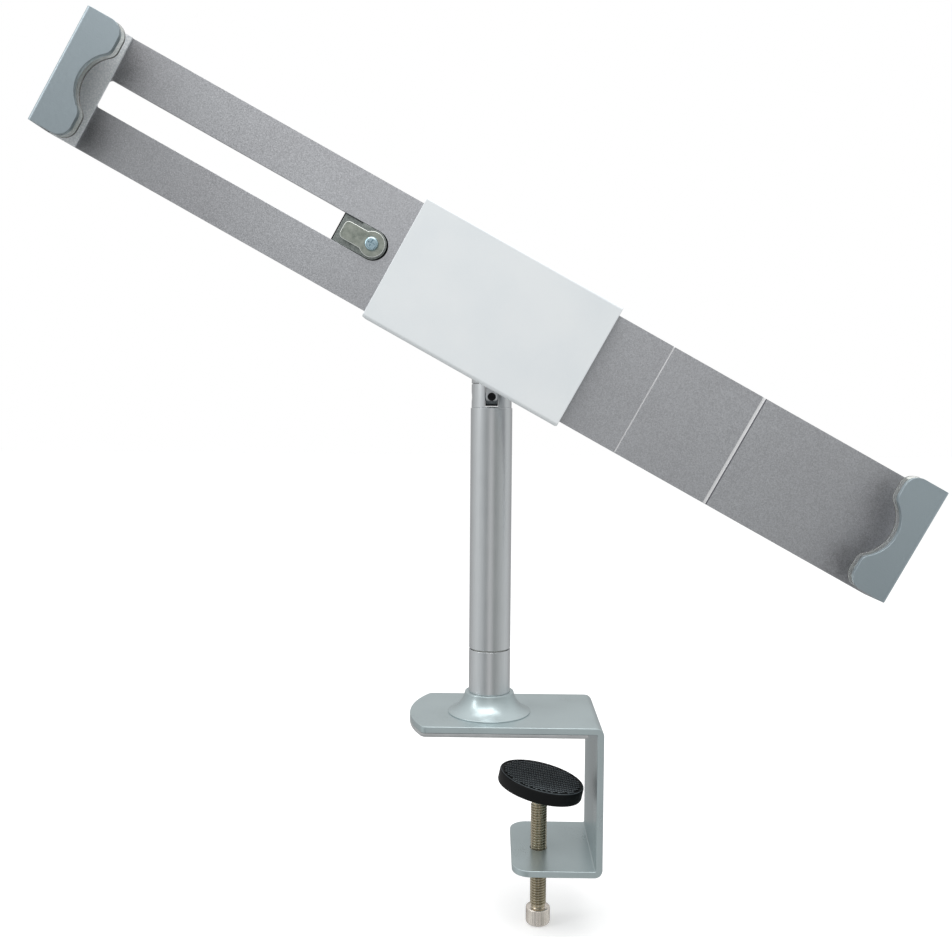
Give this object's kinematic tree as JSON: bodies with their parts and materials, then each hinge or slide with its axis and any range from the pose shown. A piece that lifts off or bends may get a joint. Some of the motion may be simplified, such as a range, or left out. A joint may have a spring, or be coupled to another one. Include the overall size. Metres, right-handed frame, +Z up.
{
  "type": "lockable tablet holder",
  "caption": "Desk-clamp tablet holder: two hooked arms slide out of a sleeve with a key lock, on a tilting, turning head atop a short swivelling pole.",
  "frame": {"origin": "on the pole's axis, on the face of the clamp's upper arm (under its liner) that rests on the desk top", "axes": "+Z up along the pole; +X towards the clamp's spine, so the desk comes in from -X; -Y is the side the tablet faces"},
  "size_m": [0.3156, 0.0665, 0.3361],
  "materials": {
    "silver_paint": "satin silver enamel",
    "white_silver_paint": "smooth pale silver enamel",
    "satin_aluminium": "satin turned",
    "anodised_sheet": "fine bead-blasted anodised",
    "zinc_steel": "bright zinc",
    "nickel_steel": "warm nickel",
    "tongue_steel": "stamped plain steel",
    "black_steel": "black oxide",
    "lock_zinc": "zinc die casting",
    "lock_chrome": "dull nickel plate",
    "black_rubber": "moulded with a waffle face",
    "grey_rubber": "smooth grey sheet",
    "clear_silicone": "milky clear silicone sheet",
    "grip_foam": "fine-textured grey grip sheet",
    "nylon": "natural nylon"
  },
  "bodies": {
    "clamp": {"clamp_bracket": "silver_paint", "desk_liner": "grey_rubber", "swivel_bolt": "zinc_steel", "pole_flange": "silver_paint", "pole_collar": "satin_aluminium", "swivel_washer": "nylon", "spring_washer": "zinc_steel", "swivel_nut": "zinc_steel"},
    "screw": {"clamp_screw": "nickel_steel", "ball_tip": "nickel_steel"},
    "pad": {"clamp_pad": "black_rubber", "pad_cup": "zinc_steel"},
    "pole": {"pole_tube": "satin_aluminium", "lower_insert": "satin_aluminium", "pole_head": "satin_aluminium"},
    "head": {"tilt_knuckle": "satin_aluminium", "tilt_pin": "zinc_steel", "grub_screw": "black_steel"},
    "holder": {"friction_washer": "nylon", "roll_bolt": "zinc_steel", "roll_washer": "zinc_steel", "roll_nut": "zinc_steel", "sleeve": "white_silver_paint", "upper_guide": "nylon", "lower_guide": "nylon", "rear_plate": "black_steel", "plate_screws": "zinc_steel", "lock_block": "lock_zinc", "block_screws": "zinc_steel", "lock_body": "lock_chrome"},
    "lock": {"lock_plug": "lock_chrome", "lock_tongue": "tongue_steel", "tongue_screw": "zinc_steel"},
    "left_slider": {"left_arm": "anodised_sheet", "left_lip_liner": "clear_silicone", "left_grip_pad": "grip_foam"},
    "right_slider": {"right_arm": "anodised_sheet", "right_lip_liner": "clear_silicone"}
  },
  "joints": [
    {"name": "pole_swivel", "type": "hinge", "parent": "clamp", "child": "pole", "pos_m": [0, 0, 0.0291], "axis": [0, 0, 1], "continuous": true},
    {"name": "head_tilt", "type": "hinge", "parent": "pole", "child": "head", "pos_m": [0, 0, 0.126], "axis": [-1, 0, 0], "range_deg": [0, 60]},
    {"name": "holder_roll", "type": "hinge", "parent": "head", "child": "holder", "pos_m": [0, 0, 0.155], "axis": [0, 1, 0], "continuous": true},
    {"name": "left_arm_slide", "type": "slide", "parent": "holder", "child": "left_slider", "axis": [0.8746, 0, -0.4848], "range_m": [-0.0003, 0.094]},
    {"name": "right_arm_slide", "type": "slide", "parent": "holder", "child": "right_slider", "axis": [-0.8746, 0, 0.4848], "range_m": [0, 0.065]},
    {"name": "lock_turn", "type": "hinge", "parent": "holder", "child": "lock", "pos_m": [-0.04277, -0.0275, 0.17871], "axis": [0, 1, 0], "range_deg": [0, 90]},
    {"name": "screw_travel", "type": "slide", "parent": "clamp", "child": "screw", "axis": [0, 0, 1], "range_m": [-0.017, 0.017]},
    {"name": "pad_tilt", "type": "hinge", "parent": "screw", "child": "pad", "pos_m": [0.0198, 0, -0.0271], "axis": [0, 1, 0], "range_deg": [-27, 3]}
  ]
}
